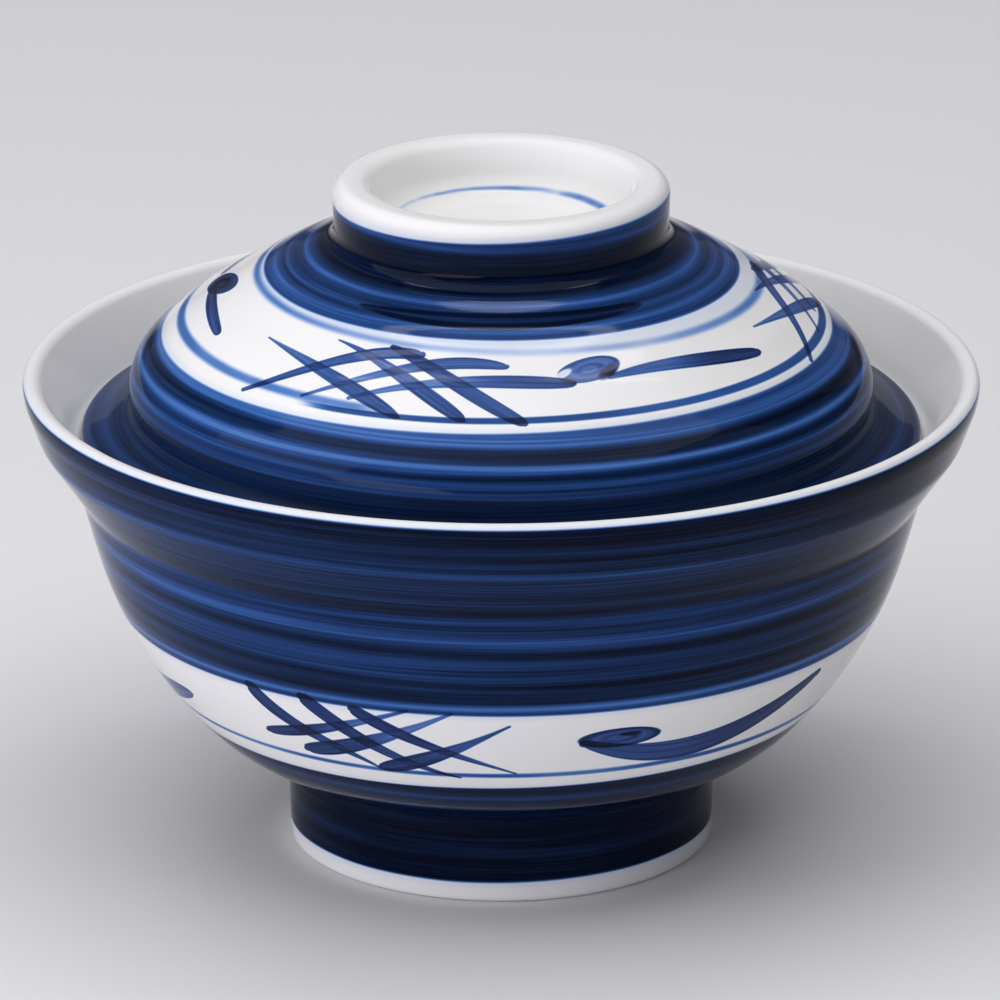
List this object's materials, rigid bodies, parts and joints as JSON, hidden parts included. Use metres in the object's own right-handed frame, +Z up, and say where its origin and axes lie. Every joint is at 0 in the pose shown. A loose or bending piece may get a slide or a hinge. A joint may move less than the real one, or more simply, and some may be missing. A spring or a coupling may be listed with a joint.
{
  "type": "donburi bowl with lid",
  "caption": "Footed porcelain donburi bowl with a flared rim, and a domed lid with a ring knob that lies inside the rim and lifts off.",
  "frame": {"origin": "centre of the foot ring's resting face", "axes": "+Z up along the axis of bowl and lid, -Y towards the viewer of the picture"},
  "size_m": [0.152, 0.152, 0.1096],
  "materials": {
    "bowl_glaze": "clear gloss glaze over brushed cobalt bands on white porcelain",
    "lid_glaze": "clear gloss glaze over brushed cobalt bands on white porcelain"
  },
  "bodies": {
    "bowl": {"bowl": "bowl_glaze"},
    "lid": {"lid": "lid_glaze"}
  },
  "joints": [
    {"name": "lid_lift", "type": "slide", "parent": "bowl", "child": "lid", "axis": [0, 0, 1], "range_m": [0, 0.06]}
  ]
}
